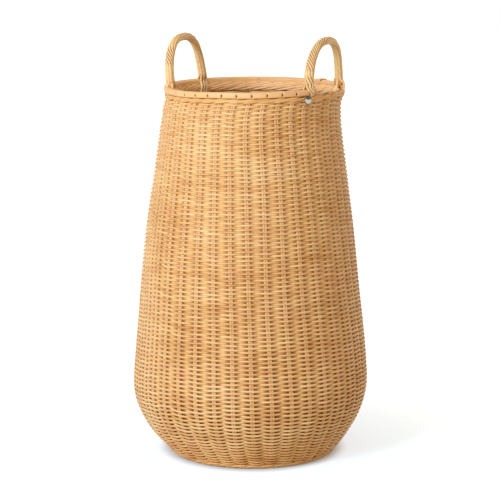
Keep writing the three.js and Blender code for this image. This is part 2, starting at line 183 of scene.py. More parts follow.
def endCaps(length, sides, starts=0):
    # the first rings of all tubes, turned round, and then the last ones
    ring = np.arange(sides)[None]
    return np.concatenate([ring[:, ::-1] + starts, ring + (length - 1) * sides + starts])


# Where a strand gets painted shade, by the cosine of the turn round it, and how far its pattern is from the next one's
tube = {"outerShade": (-0.6, 0.1), "sideShade": (0.1, 0.75), "uvStep": 1.37}


def tubeMesh(name, paths, outward, width, thick=None, sides=8, looped=False, squareness=1.0, depth=0.0, creviceShade=0.0,
             uvStart=0.0):
    # an oval along each path, thick along its outward way; depth paints shade on its outward half, and the crevice
    # amount paints shade on its sides
    paths = np.asarray(paths)
    outward = np.broadcast_to(outward, paths.shape)
    count, length = paths.shape[:2]
    ahead = np.roll(paths, -1, axis=1) - np.roll(paths, 1, axis=1) if looped else np.gradient(paths, axis=1)
    tangent = unit(ahead)
    aside = unit(np.cross(tangent, outward))
    lift = np.cross(aside, tangent)
    turn = np.pi + 2 * np.pi * np.arange(sides) / sides
    up, sideways = (np.sign(part) * np.abs(part) ** squareness for part in (np.cos(turn), np.sin(turn)))
    width, thick, depth, creviceShade = (np.broadcast_to(value, (count, length))[..., None]
                                    for value in (width, width if thick is None else thick, depth, creviceShade))
    rings = (paths[:, :, None] + thick[..., None] / 2 * up[:, None] * lift[:, :, None]
             + width[..., None] / 2 * sideways[:, None] * aside[:, :, None])
    corners, places = gridFaces(length, sides, looped)
    starts = (np.arange(count) * length * sides)[:, None]
    quads = (corners[None] + starts[..., None]).reshape(-1, 4)
    steps = np.linalg.norm(np.diff(paths, axis=1, append=paths[:, :1] if looped else paths[:, -1:]), axis=-1)
    run = np.concatenate([np.zeros((count, 1)), np.cumsum(steps, axis=1)], axis=1) * mm
    run = run + uvStart + tube["uvStep"] * np.arange(count)[:, None]
    around = np.broadcast_to(places[..., 1] / sides, (count,) + places.shape[:2])
    quadUv = np.stack([run[:, places[..., 0]], around], axis=-1)
    caps = np.zeros((0, sides), int) if looped else endCaps(length, sides, starts)
    # painted shade: the outward half of a strand that lies behind others, and the sides of every strand
    paintedShade = depth * easeIn(np.cos(turn), *tube["outerShade"])
    paintedShade = paintedShade + creviceShade * (1 - easeIn(np.abs(np.cos(turn)), *tube["sideShade"]))
    return buildMesh(name, rings, quads, quadUv, caps, paintedShade)


def gridMesh(name, points, alongMm, paintedShade=0.0):
    # an outline carried round the basket
    length, sides = points.shape[:2]
    quads, places = gridFaces(length, sides)
    places = places[:, ::-1]
    quadUv = np.stack([alongMm[places[..., 0]] * mm, places[..., 1] / sides], axis=-1)
    return buildMesh(name, points, quads[:, ::-1], quadUv, endCaps(length, sides)[:, ::-1], paintedShade)


def finishPiece(piece, material, slot, *nodes):
    piece.data.materials.append(material)
    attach(piece, "root")
    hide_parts(*nodes)


# Materials

def paint(code):
    # #rrggbb in linear light
    values = [int(code[place:place + 2], 16) / 255 for place in (1, 3, 5)]
    linear = [value / 12.92 if value <= 0.04045 else ((value + 0.055) / 1.055) ** 2.4 for value in values]
    return (*linear, 1.0)


def addNode(tree, kind, settings=None, inputs=None):
    made = tree.nodes.new(kind)
    for name, value in (settings or {}).items():
        setattr(made, name, value)
    for name, value in (inputs or {}).items():
        if isinstance(value, bpy.types.NodeSocket):
            tree.links.new(value, made.inputs[name])
        else:
            made.inputs[name].default_value = value
    return made


def mathNode(tree, operation, first, second=0.0):
    return addNode(tree, "ShaderNodeMath", {"operation": operation}, {0: first, 1: second}).outputs[0]


def addAll(tree, total, *others):
    for other in others:
        total = mathNode(tree, "ADD", total, other)
    return total


def mapNode(tree, value, fromRange, toRange=(0.0, 1.0), kind="LINEAR"):
    inputs = dict(enumerate((value, *fromRange, *toRange)))
    return addNode(tree, "ShaderNodeMapRange", {"interpolation_type": kind}, inputs).outputs[0]


def mixColor(tree, factor, first, second, blend="MIX"):
    made = addNode(tree, "ShaderNodeMix", {"data_type": "RGBA", "blend_type": blend}, {0: factor, 6: first, 7: second})
    return made.outputs[2]


def noiseAt(tree, vector, detail, roughness=0.5):
    made = addNode(tree, "ShaderNodeTexNoise", None,
                   {"Vector": vector, "Scale": 1.0, "Detail": detail, "Roughness": roughness})
    return made.outputs["Fac"]


def placeOf(tree, kind="Object"):
    return addNode(tree, "ShaderNodeTexCoord").outputs[kind]


def partOf(tree, vector, axis):
    return addNode(tree, "ShaderNodeSeparateXYZ", None, {0: vector}).outputs[axis]


def cloudNoise(tree, scale, detail, roughness=0.5):
    scaled = addNode(tree, "ShaderNodeVectorMath", {"operation": "SCALE"}, {0: placeOf(tree), "Scale": scale})
    return noiseAt(tree, scaled.outputs[0], detail, roughness)


def clearedTree(block):
    block.use_nodes = True
    block.node_tree.nodes.clear()
    return block.node_tree


def dress(tree, color, rough, height, bump, more):
    # bump is a strength and a depth
    normal = addNode(tree, "ShaderNodeBump", None, {"Strength": bump[0], "Distance": bump[1], "Height": height})
    surface = addNode(tree, "ShaderNodeBsdfPrincipled", None, {
        "Base Color": color, "Roughness": rough, "Normal": normal.outputs["Normal"], **more})
    addNode(tree, "ShaderNodeOutputMaterial", None, {"Surface": surface.outputs[0]})


# Cane: its noises have scales along and round the strand, shift, detail, roughness and weight
cane = {
    "slow": (9.0, 0.0, 3.7, 3.0, 0.5, 1.25), "quick": (45.0, 0.0, 8.1, 2.0, 0.5, 0.55),
    "fibre": (26.0, 14.0, 1.3, 3.0, 0.6, 0.55), "fine": (90.0, 40.0, 5.9, 2.0, 0.6, 0.35),
    "scar": (120.0, 3.0, 11.3, 1.0, 0.5, 0.0), "blush": (13.0, 0.0, 17.9, 2.0, 0.5, 0.0),
    "patch": (13.0, 3.0), "patchWeight": 0.75, "middleTone": 0.55, "lightTone": 1.05,
    "blushFrom": (0.5, 0.8), "blushMost": 0.75, "blushTint": "#e9b18c",
    # the scars and the painted shade in the gaps share one dark colour
    "scarFrom": (0.7, 0.8), "scarMost": 0.55, "shadeMost": 0.85,
    "roughWeight": 0.25, "fibreHeight": 0.7, "fineHeight": 0.5,
    "lowReach": 0.05, "lowMost": 0.7, "lowTint": (1.0, 0.8, 0.56, 1),  # redder close to the floor
    "bump": (0.55, 0.0002), "coatRoughness": 0.35,
}


def caneSkinGroup():
    # tone along the strand, patches, fibres, small scars and painted shade in the gaps
    tree = bpy.data.node_groups.new("caneSkin", "ShaderNodeTree")
    for way, kind, names in (("INPUT", "Color", ("Light", "Middle", "Dark", "ScarAndShade")),
                             ("INPUT", "Float", ("Spread", "Fibre", "Depth", "Gloss")),
                             ("OUTPUT", "Color", ("Color",)), ("OUTPUT", "Float", ("Roughness", "Height"))):
        for name in names:
            tree.interface.new_socket(name, in_out=way, socket_type="NodeSocket" + kind)
    given = addNode(tree, "NodeGroupInput").outputs
    uv = placeOf(tree, "UV")
    along, around = partOf(tree, uv, "X"), partOf(tree, uv, "Y")

    def strandNoise(name):
        alongScale, aroundScale, shift, detail, roughness, _ = cane[name]
        vector = addNode(tree, "ShaderNodeCombineXYZ", None, {
            0: mathNode(tree, "MULTIPLY", along, alongScale),
            1: mathNode(tree, "MULTIPLY", around, aroundScale), 2: shift})
        return noiseAt(tree, vector.outputs[0], detail, roughness)

    noises = {name: strandNoise(name) for name in ("slow", "quick", "fibre", "fine", "scar", "blush")}
    patch = cloudNoise(tree, *cane["patch"])

    def centred(value, weight):
        return mathNode(tree, "MULTIPLY", mathNode(tree, "SUBTRACT", value, 0.5), weight)

    slow, quick, fibre, fine = (centred(noises[name], cane[name][-1]) for name in ("slow", "quick", "fibre", "fine"))
    tone = addAll(tree, slow, quick, centred(patch, cane["patchWeight"]))
    tone = mathNode(tree, "MULTIPLY", tone, given["Spread"])
    grain = mathNode(tree, "MULTIPLY", addAll(tree, fibre, fine), given["Fibre"])
    tone = addAll(tree, tone, grain, cane["middleTone"])
    lower = mapNode(tree, tone, (0.0, cane["middleTone"]))
    upper = mapNode(tree, tone, (cane["middleTone"], cane["lightTone"]))
    color = mixColor(tree, lower, given["Dark"], given["Middle"])
    color = mixColor(tree, upper, color, given["Light"])
    blushShare = mapNode(tree, noises["blush"], cane["blushFrom"], (0.0, cane["blushMost"]))
    color = mixColor(tree, blushShare, color, paint(cane["blushTint"]))
    scarShare = mapNode(tree, noises["scar"], cane["scarFrom"], (0.0, cane["scarMost"]))
    # painted shade in the gaps and crevices, in the same dark colour as the scars
    gapShadeShare = mathNode(tree, "MULTIPLY", given["Depth"], cane["shadeMost"])
    color = mixColor(tree, mathNode(tree, "MAXIMUM", scarShare, gapShadeShare), color, given["ScarAndShade"])
    lowShare = mapNode(tree, partOf(tree, placeOf(tree), "Z"), (0.0, cane["lowReach"]), (cane["lowMost"], 0.0))
    color = mixColor(tree, lowShare, color, cane["lowTint"], "MULTIPLY")
    rough = addAll(tree, given["Gloss"], centred(noises["fibre"], cane["roughWeight"]))
    height = addAll(tree, mathNode(tree, "MULTIPLY", noises["fibre"], cane["fibreHeight"]),
                    mathNode(tree, "MULTIPLY", noises["fine"], cane["fineHeight"]))
    height = mathNode(tree, "SUBTRACT", height, scarShare)
    addNode(tree, "NodeGroupOutput", None, {"Color": color, "Roughness": rough, "Height": height})
    return tree


caneSkin = caneSkinGroup()


def caneMaterial(name, light, middle, dark, spread=1.0, fibre=1.0, gloss=0.5, coat=0.0, paintedShade="#80420c"):
    # the dark colour paints the shade in the gaps and also colours the scars
    material = bpy.data.materials.new(name)
    tree = clearedTree(material)
    depth = addNode(tree, "ShaderNodeAttribute", {"attribute_name": "depth"}).outputs["Fac"]
    skin = addNode(tree, "ShaderNodeGroup", {"node_tree": caneSkin}, {
        "Light": paint(light), "Middle": paint(middle), "Dark": paint(dark), "ScarAndShade": paint(paintedShade),
        "Spread": spread, "Fibre": fibre, "Gloss": gloss, "Depth": depth}).outputs
    dress(tree, skin["Color"], skin["Roughness"], skin["Height"], cane["bump"],
          {"Coat Weight": coat, "Coat Roughness": cane["coatRoughness"]})
    return material


weaveCane = caneMaterial("weaveCane", "#ffeabd", "#f3cf93", "#cd9653", spread=1.3, gloss=0.44, paintedShade="#8a3c00")
# paler than the weave cane, partly as a painted highlight along the stakes
stakeCane = caneMaterial("stakeCane", "#fff0cc", "#ffdfb0", "#efc28c", spread=0.8, gloss=0.4)
rimCane = caneMaterial("rimCane", "#fddfb1", "#f4cf9b", "#dfaf77", spread=0.6, fibre=0.8, gloss=0.45, coat=0.08)
waleCane = caneMaterial("waleCane", "#fbd69c", "#ecbf80", "#cf9858", gloss=0.5)
strandCane = caneMaterial("strandCane", "#ffeec3", "#fae1b0", "#dcba82", spread=0.8, gloss=0.46, coat=0.05)
collarCane = caneMaterial("collarCane", "#f3c68c", "#e3ae72", "#c08a4f", fibre=1.2, gloss=0.48)
# very pale, partly as painted light on the plait inside the basket
plaitCane = caneMaterial("plaitCane", "#ffecc4", "#fddcac", "#e6b87e", gloss=0.5)
bowCane = caneMaterial("bowCane", "#f2cb94", "#dcae74", "#b78449", gloss=0.55)
baseCane = caneMaterial("baseCane", "#f0c78c", "#dcae6e", "#b68044", gloss=0.6)
print("materials made")


# Wall: its outline, and the line on which the stakes stand
wall = {
    "bellyDiameter": 340.0, "bellyHeight": 102.0,  # over the crowns of the weave
    "footDiameter": 235.0, "neckDiameter": 253.0, "top": spanOf("side_weave")[1][2],
    "crownDepth": 3.85,  # from the crowns in to the middle of the stakes
    "stakes": 38,
    "wind": math.radians(6),  # how far the stakes wind round from the neck to the foot
    "drift": math.radians(0.75), "calm": 0.7, "calmFrom": (-40, 10),  # near the top they wander less
    "heightShares": [0, 0.11, 0.28, 0.51, 0.75, 0.94, 1],
    "widthShares": [0, 0.06, 0.215, 0.428, 0.732, 0.965, 1],
    "lineBelow": 3, "lineAbove": 16, "lineSlope": 1.03, "lineSamples": 1600,  # how far the line runs on
}
stakePitch = 2 * np.pi / wall["stakes"]


def outlineRadius(height):
    # a parabola up to the belly, then a curve through the shares
    low = np.clip(height / wall["bellyHeight"], 0, 1)
    high = (height - wall["bellyHeight"]) / (wall["top"] - wall["bellyHeight"])
    below = wall["footDiameter"] + (wall["bellyDiameter"] - wall["footDiameter"]) * low * (2 - low)
    share = throughPoints(high, wall["heightShares"], wall["widthShares"], firstSlope=0)
    return (below + (wall["neckDiameter"] - wall["bellyDiameter"]) * share) / 2


def stakeLine():
    # the outline moved in by the crown depth, square to itself
    height = np.linspace(-wall["lineBelow"], wall["top"] + wall["lineAbove"], wall["lineSamples"])
    radius = outlineRadius(height) + np.minimum(height, 0) * wall["lineSlope"]
    slope = np.gradient(radius, height)
    outR, outZ = 1 / np.hypot(1, slope), -slope / np.hypot(1, slope)
    lineR, lineZ = radius - wall["crownDepth"] * outR, height - wall["crownDepth"] * outZ
    steps = np.hypot(np.diff(lineR), np.diff(lineZ))
    run = np.concatenate([[0], np.cumsum(steps)])
    return {"run": run, "radius": lineR, "height": lineZ, "outR": outR, "outZ": outZ}


line = stakeLine()
neckRadius = wall["neckDiameter"] / 2 - wall["crownDepth"]


def onLine(run):
    return [np.interp(run, line["run"], line[name]) for name in ("radius", "height", "outR", "outZ")]


def runAtHeight(height):
    return np.interp(height, line["height"], line["run"])


stakeDrift = softNoise(seed=11, count=10, turnsMost=9, heightMost=0.02)


def woundAt(height):
    return wall["wind"] * (1 - np.clip(height, 0, wall["top"]) / wall["top"])


def stakeShift(angle, height):
    # how far a stake has wound and wandered from its place at the neck
    calm = 1 - wall["calm"] * easeIn(height - wall["top"], *wall["calmFrom"])
    return woundAt(height) + wall["drift"] * calm * stakeDrift(angle, height)


# Side weave: two weavers that chase each other, each over one stake and under the next
weave = {
    "outerHeight": 3.5, "innerHeight": 6.0, "depth": 2.9,  # the cane lies flatter where it is out of sight
    "slopeHeight": 3.0, "innerFrom": (-0.15, 0.65),
    "rows": 176, "firstRun": 2.2,
    "footHeight": 3.9, "overTop": 3.5,  # the rows run up behind the top wale
    "reach": 2.35,  # how far a weaver lies off the stakes' middle, out and in
    "straightness": 0.965,  # 1 is a zigzag, and near 0 a sine
    "flatness": 1.2, "flatBelow": (60, 330),  # where the stakes stand far apart, it lies out for longer
    "perStake": 6, "sharedWander": 0.8, "ownWander": 0.16, "fadeTurns": 2,
    # painted shade where a weaver lies behind the stakes, and along the sides of every row, more of it higher up
    "paintedShade": 0.9, "gapShadeFrom": (0.2, 0.95),
    "creviceShade": 0.38, "moreCreviceShade": 0.14, "moreFrom": (120, 330),
    "uvPerTurn": 0.97,
    "turns": {"weaveFoot": (0, 18), "weaveBelly": (18, 36), "weaveWaist": (36, 53), "weaveShoulder": (53, 70),
              "weaveNeck": (70, 88)},
}
lastRun = runAtHeight(wall["top"] + weave["overTop"])
footRun = runAtHeight(weave["footHeight"])
rowPitch = (lastRun - footRun - weave["firstRun"]) / weave["rows"]
rowWander = softNoise(seed=21, count=14, turnsMost=24, heightMost=0.06)


def weaverPath(strand, turns):
    # a spiral that swings out and in once per two stakes, as a rounded zigzag
    angle = 2 * np.pi * turns
    own = lineNoise(seed=31 + strand, count=16, waveMost=3.2)
    run = footRun + weave["firstRun"] + rowPitch * (2 * turns + strand + 0.5)
    ends = np.clip(np.minimum(turns, weave["rows"] / 2 - turns) / weave["fadeTurns"], 0, 1)
    swell = rowWander(angle, run) * weave["sharedWander"] + own(angle) * weave["ownWander"]
    run = run + swell * ends
    radius, height, outR, outZ = onLine(run)
    phase = wall["stakes"] / 2 * (angle - stakeShift(angle, height))
    zigzag = np.arcsin(weave["straightness"] * np.sin(phase)) / math.asin(weave["straightness"])
    flat = np.tanh(weave["flatness"] * np.sin(phase)) / math.tanh(weave["flatness"])
    swing = (1 - 2 * strand) * (flat + (zigzag - flat) * easeIn(height, *weave["flatBelow"]))
    away = swing * weave["reach"]
    return onSpoke(angle, radius + away * outR, height + away * outZ), onSpoke(angle, outR, outZ), swing


for name, (firstTurn, endTurn) in weave["turns"].items():
    samples = (endTurn - firstTurn) * wall["stakes"] * weave["perStake"] + 1
    turns = np.linspace(firstTurn, endTurn, samples)
    parts = [weaverPath(strand, turns) for strand in (0, 1)]
    paths, outward, swing = (np.stack([part[k] for part in parts]) for k in range(3))
    inside = easeIn(-swing, *weave["innerFrom"])
    lean = 1 - np.hypot(outward[..., 0], outward[..., 1])
    extra = weave["innerHeight"] - weave["outerHeight"] + weave["slopeHeight"] * lean
    width = weave["outerHeight"] + extra * inside
    creviceShade = weave["creviceShade"] + weave["moreCreviceShade"] * easeIn(paths[..., 2], *weave["moreFrom"])
    piece = tubeMesh(name, paths, outward, width, weave["depth"], uvStart=firstTurn * weave["uvPerTurn"],
                     depth=easeIn(-swing, *weave["gapShadeFrom"]) * weave["paintedShade"], creviceShade=creviceShade)
    finishPiece(piece, weaveCane, "cane_weave", "side_weave")
print("side weave:", weave["rows"], "rows,", round(rowPitch, 3), "mm apart")


# Wales: three strands that each pass in front of two stakes and behind one
wale = {
    "perStake": 8, "sides": 10,
    "top": {"diameter": 3.7, "rise": 1.6, "outer": 3.3, "inner": 2.0},
    "foot": {"diameter": 3.4, "rise": 2.1, "outer": 2.5, "inner": 2.3},
    "topLift": 0.9, "footLift": 2.4,  # from the solid's middle, and from the start of the rows
    "wander": 0.3, "steepness": 1.6, "paintedShade": 0.3,
}


def waleMesh(name, middleRun, sizes, material, slot, *nodes):
    # one closed strand, three times round, that is outside for two thirds of the way
    samples = 3 * wall["stakes"] * wale["perStake"]
    angle = 6 * np.pi * np.arange(samples) / samples
    _, height, _, _ = onLine(middleRun + 0 * angle)
    phase = 2 * np.pi / 3 * ((angle - stakeShift(angle, height)) / stakePitch + 0.5) + np.pi / 3
    run = middleRun + sizes["rise"] * np.sin(phase) + wale["wander"] * rowWander(angle, 500)
    radius, height, outR, outZ = onLine(run)
    swing = np.clip(wale["steepness"] * (np.cos(phase) + 0.5), -1, 1)
    away = np.where(swing > 0, sizes["outer"], sizes["inner"]) * swing
    path = onSpoke(angle, radius + away * outR, height + away * outZ)
    # painted shade on the strand, most where it passes behind a stake
    piece = tubeMesh(name, [path], onSpoke(angle, outR, outZ), sizes["diameter"], sides=wale["sides"], looped=True,
                     depth=np.clip(0.5 - 0.5 * swing, 0, 1) * wale["paintedShade"])
    finishPiece(piece, material, slot, *nodes)


topRun = runAtHeight(middleOf("top_wale")[2] + wale["topLift"])
waleMesh("topWale", topRun, wale["top"], waleCane, "cane_wale", "top_wale")
waleMesh("footWale", footRun + wale["footLift"], wale["foot"], weaveCane, "cane_weave", "side_weave")
print("wales made")


# Stakes: pairs of upright round canes
stakes = {"diameter": 3.1, "samples": 60, "bottom": 1.2, "topGap": 0.2, "pairGap": 0.04}
stakeNames = [f"stake_{number:02d}" for number in range(1, wall["stakes"] + 1)]


def stakeMesh():
    paths, outward = [], []
    for stake, name in enumerate(stakeNames):
        top = spanOf(name)[1][2] - stakes["topGap"]
        run = np.linspace(runAtHeight(stakes["bottom"]), runAtHeight(top), stakes["samples"])
        radius, height, outR, outZ = onLine(run)
        start = (stake + 0.5) * stakePitch
        for aside in (-1, 1):
            angle = start + stakeShift(start, height) + aside * (stakes["diameter"] + stakes["pairGap"]) / 2 / radius
            paths.append(onSpoke(angle, radius, height))
            outward.append(onSpoke(angle, outR, outZ))
    return tubeMesh("stakePairs", paths, outward, stakes["diameter"])


finishPiece(stakeMesh(), stakeCane, "cane_stake", *stakeNames)
print("stakes made")


# Rim: a band with a seam and a small hole beside each stake, and a cane inside it
rim = {
    "perStake": 22, "crowding": 0.8, "endGap": 0.003, "endAngle": math.radians(28.0),
    "reach": 8.3, "lip": 4.7, "thickness": 5, "bevel": 1.0,  # the band's section, a hook over the stakes' ends
    "rounding": [0.4, 1.6, 3.0, 1.6, 0.5, 0.4], "sidePiece": 0.9, "faceFrom": (-3.5, -0.4),
    "seamBeside": 3.4, "seamDepth": 0.3, "seamHalf": 0.3,  # beside the middle of a stake
    "holeDepth": 3.0, "holeHalf": 0.95, "holeRise": 1.7, "holeHeight": 3.9,
    "ridge": 0.45, "ridgeBeside": 2.1, "ridgeHalf": 0.55, "pillow": 0.25, "pillowHalf": 3.0,
    # painted shade in the band's small holes
    "paintedShade": 1.15, "gapShadeFrom": (0.1, 0.6),
    "caneWidth": 3.2, "caneRounding": [1.5, 0.5, 0.8, 2.2], "canePiece": 1.2, "caneSamples": 320,
    "caneWander": 0.15, "caneGap": 0.1,
}
bandLow, bandHigh = spanOf("rim_band")
rimOuter, rimTop, rimLow = bandHigh[1], bandHigh[2], bandLow[2]
caneLow, caneHigh = spanOf("rim_inner_cane")
caneInner = caneHigh[1] - rim["caneWidth"]
seamTurn = rim["seamBeside"] / neckRadius
ringEnds = [rim["endAngle"], 2 * np.pi - rim["endAngle"]]


def seamPlaces():
    # angles round the rim, crowded at the seams
    steps = np.arange(wall["stakes"] * rim["perStake"]) / rim["perStake"]
    angles = (steps - rim["crowding"] * np.sin(2 * np.pi * steps) / (2 * np.pi)) * stakePitch
    angles = angles + 0.5 * stakePitch + seamTurn
    angles = angles[(angles > ringEnds[0] + rim["endGap"]) & (angles < ringEnds[1] - rim["endGap"])]
    return np.concatenate([ringEnds[:1], angles, ringEnds[1:]])


def roundedOutline(corners, radii, perCorner=4):
    # outline of radius and height through corners that are rounded off by arcs
    corners = np.asarray(corners, float)
    points = []
    for k, (corner, radius) in enumerate(zip(corners, radii)):
        before = unit(corners[k - 1] - corner)
        after = unit(corners[(k + 1) % len(corners)] - corner)
        for share in np.linspace(0, 1, perCorner):
            points.append(corner + radius * ((1 - share) ** 2 * before + share ** 2 * after))
    return np.array(points)


def addBetween(points, pieces):
    # splits each long side of an outline, so that it can bend
    made = []
    for k, point in enumerate(points):
        following = points[(k + 1) % len(points)]
        count = max(1, int(np.linalg.norm(following - point) / pieces))
        made.extend(point + (following - point) * share for share in np.arange(count) / count)
    return np.array(made)


def ringPoints(angles, outline, push):
    # an outline at every angle, pushed out along the radius
    radius = outline[None, :, 0] + push
    height = np.broadcast_to(outline[None, :, 1], radius.shape)
    return onSpoke(angles[:, None] + 0 * radius, radius, height)


def bell(x, half):
    return np.exp(-(x / half) ** 2)


def bandMesh():
    # the outer face swells between the seams, and sinks at each seam and hole
    outer, inner, back = rimOuter, rimOuter - rim["reach"], rimOuter - rim["thickness"]
    lip = rimTop - rim["lip"]
    outline = roundedOutline([(back, rimLow), (outer, rimLow + rim["bevel"]), (outer, rimTop), (inner, rimTop),
                              (inner, lip), (back, lip)], rim["rounding"])
    outline = addBetween(outline, rim["sidePiece"])
    angles = seamPlaces()
    share = (angles - seamTurn) / stakePitch - 0.5
    offSeam = (share - np.round(share)) * stakePitch * rimOuter
    outerFace = easeIn(outline[:, 0] - rimOuter, *rim["faceFrom"])
    seam = rim["ridge"] * bell(offSeam - rim["ridgeBeside"], rim["ridgeHalf"])
    seam = seam - rim["seamDepth"] * bell(offSeam, rim["seamHalf"])
    pillow = rim["pillow"] * (1 - bell(offSeam, rim["pillowHalf"]))
    hole = bell(outline[None, :, 1] - rimLow - rim["holeHeight"], rim["holeRise"])
    hole = hole * bell(offSeam, rim["holeHalf"])[:, None]
    push = ((seam + pillow)[:, None] - rim["holeDepth"] * hole - rim["pillow"]) * outerFace[None]
    # painted shade in the small holes of the outer face
    paintedShade = easeIn(hole, *rim["gapShadeFrom"]) * outerFace[None] * rim["paintedShade"]
    return gridMesh("rimBand", ringPoints(angles, outline, push), angles * rimOuter, paintedShade)


def innerCaneMesh():
    outer = caneInner + rim["caneWidth"]
    outline = roundedOutline([(caneInner, caneLow[2]), (outer, caneLow[2]), (outer, caneHigh[2]),
                              (caneInner, caneHigh[2])], rim["caneRounding"])
    outline = addBetween(outline, rim["canePiece"])
    angles = np.linspace(*ringEnds, rim["caneSamples"])
    push = rim["caneWander"] * rowWander(angles, 40)[:, None] - rim["caneGap"]
    return gridMesh("rimInnerCane", ringPoints(angles, outline, push), angles * caneInner)


finishPiece(bandMesh(), rimCane, "cane_rim", "rim_band")
finishPiece(innerCaneMesh(), rimCane, "cane_rim", "rim_inner_cane")
print("rim made")


# Inner plait: the stakes' ends, laid down inside as slanting pairs
plait = {
    "diameter": 3.3, "startStakes": 0.55, "reachStakes": 2.7, "samples": 18,
    "topGap": 0.6, "drop": 7.0, "dropSpan": (0.05, 0.95), "strandStep": 2.7,
    "lift": 3.1, "liftSpan": 1.15, "liftPower": 0.7,  # how a strand bows into the basket
}


def plaitMesh():
    # each pair runs from its stake down across the next ones
    high = spanOf("inner_plait")[1]
    share = np.linspace(0, 1, plait["samples"])
    stake = np.repeat(np.arange(wall["stakes"]), 2)[:, None]
    strand = np.tile([0, 1], wall["stakes"])[:, None]
    angle = (stake + plait["startStakes"] + plait["reachStakes"] * share) * stakePitch
    height = high[2] - plait["topGap"] - plait["drop"] * easeIn(share, *plait["dropSpan"])
    height = height + plait["strandStep"] * (0.5 - strand)
    lift = plait["lift"] * np.sin(np.pi * np.clip(share * plait["liftSpan"], 0, 1)) ** plait["liftPower"]
    paths = onSpoke(angle, high[0] - plait["diameter"] / 2 - lift, height)
    return tubeMesh("innerPlait", paths, -onSpoke(angle, 1, 0), plait["diameter"])


finishPiece(plaitMesh(), plaitCane, "cane_wale", "inner_plait")


# Lashing: a flat cane bound over the rim
lashing = {"angle": math.radians(60.4), "width": 10.0, "thickness": 1.4, "stand": 0.9, "outerReach": 14,
           "rounding": 3.2, "arcPoints": 7, "sides": 20, "squareness": 0.45}


def lashingMesh():
    # an arch over the rim: up outside, over the top, down inside
    outer, inner, top = rimOuter + lashing["stand"], caneInner - lashing["stand"], rimTop + lashing["stand"]
    ends = lashing["arcPoints"] - 1
    corners = roundedOutline([(outer, top - lashing["outerReach"]), (outer, top), (inner, top),
                              (inner, spanOf("rim_lashing")[0][2])],
                             [0.01, lashing["rounding"], lashing["rounding"], 0.01], lashing["arcPoints"])[ends:-ends]
    path = onSpoke(lashing["angle"], corners[:, 0], corners[:, 1])
    tangent = np.gradient(corners, axis=0)
    outward = onSpoke(lashing["angle"], tangent[:, 1], -tangent[:, 0])
    return tubeMesh("rimLashing", [path], outward, lashing["width"], lashing["thickness"], lashing["sides"],
                    squareness=lashing["squareness"])


finishPiece(lashingMesh(), rimCane, "cane_rim", "rim_lashing")
print("plait and lashing made")


# Handles: a bent bow, with strands laid round it that fan out at each foot
noEdge = 99.0  # an edge that no strand reaches
handle = {
    "legX": 104.9, "rise": 64.8,
    "squareness": 0.8,  # 1 is half an ellipse, and less is rounder at its shoulders
    "strands": 8, "strandDiameter": 3.5, "archSamples": 96, "footSamples": 20, "sides": 10,
    "split": 7.5,  # over the rim, where the strands part
    "coilWander": 0.12, "twistFrom": (math.radians(9), math.radians(24)),
    # painted shade along the strands' sides, more where they twist and where they go over the rim
    "strandWidth": 1.14, "twistNarrow": 0.18, "creviceShade": 0.05, "twistCreviceShade": 0.65, "footCreviceShade": 0.5,
}
foot = {
    "slotTurn": 36, "slotGap": 0.2,  # degrees round the leg to a strand's width along the rim
    "spreadFrom": 6, "spreadOver": 6.5,  # heights over the rim, and down from there
    "innerDrop": 25.0, "innerSeat": 0.2, "innerSlant": 0.05,
    "innerBulge": 3.2, "bulgeFrom": (4, 10),  # the inner strands pass over the plait
    "tuckLength": 4.5, "tuckDepth": 2.4, "tuckNarrow": 0.25, "slantFrom": 0.5, "slantBack": -3.5,
    "edgeFrom": 4, "edgeSlope": 0.45, "overMost": 6, "overTuck": 0.7,
}
collar = {"place": (-0.3, -0.2, 2.6), "reach": 5.6, "tilt": 0.15, "width": 9.0, "thickness": 2.0, "samples": 48,
          "sides": 16, "squareness": 0.6}
bow = {"diameter": 7.2, "samples": 48, "sides": 14, "tangWidth": 5.0, "tangDepth": 3.0, "tangReach": 50.0,
       "tangGap": 6, "tangSamples": 14, "tip": (-6, 20)}
handleSides = {
    "Right": {
        "flip": (1, 1, 1), "uvStart": 0.0, "legY": 59.8, "lean": math.radians(3.9),
        "layShares": [0, 0.15, 0.35, 0.55, 0.64, 0.8, 0.92, 0.955, 1],
        "layTurns": [0, 0.02, 0.1, 0.28, 0.6, 1.3, 1.79, 1.82, 1.97],
        "coil": (4.6, 4.1, 5.4),  # the strands' radius at the first leg, the top and the last leg
        "slant": (0.1, 0.75),  # the first foot is the rear one here, and the front one on the left
        "edge": (noEdge, 5.0),  # how far beside the leg the outer strands reach
        "outerDrop": (22.5, 11.0),
        "outerSeat": (-2.2, -0.6),  # how far out of the rim's face the outer strands lie
    },
    "Left": {
        "flip": (-1, -1, 1), "uvStart": math.pi, "legY": 55.6, "lean": math.radians(3.4),
        "layShares": [0, 0.1, 0.21, 0.4, 0.6, 0.8, 1],
        "layTurns": [0, 0.03, 0.46, 0.62, 0.82, 1.0, 1.04],
        "coil": (5.1, 3.9, 5.0), "slant": (0.3, 0.05), "edge": (noEdge, noEdge),
        "outerDrop": (11.0, 11.0), "outerSeat": (-4.6, -7.6),
    },
}


def archAt(share, values):
    # half a squared ellipse in a plane that leans out, and the ways square to it
    upWay = np.array([math.sin(values["lean"]), 0, math.cos(values["lean"])])
    outWay = np.array([math.cos(values["lean"]), 0, -math.sin(values["lean"])])
    first = math.asin((handle["split"] / handle["rise"]) ** (1 / handle["squareness"]))
    turn = first + (np.pi - 2 * first) * share
    aside = np.sign(np.cos(turn)) * np.abs(np.cos(turn)) ** handle["squareness"]
    middle = np.stack([handle["legX"] + 0 * turn, values["legY"] * aside, rimTop + 0 * turn], -1)
    middle = middle + handle["rise"] * (np.sin(turn) ** handle["squareness"])[:, None] * upWay
    return middle, outWay, unit(np.cross(np.gradient(middle, axis=0), outWay))


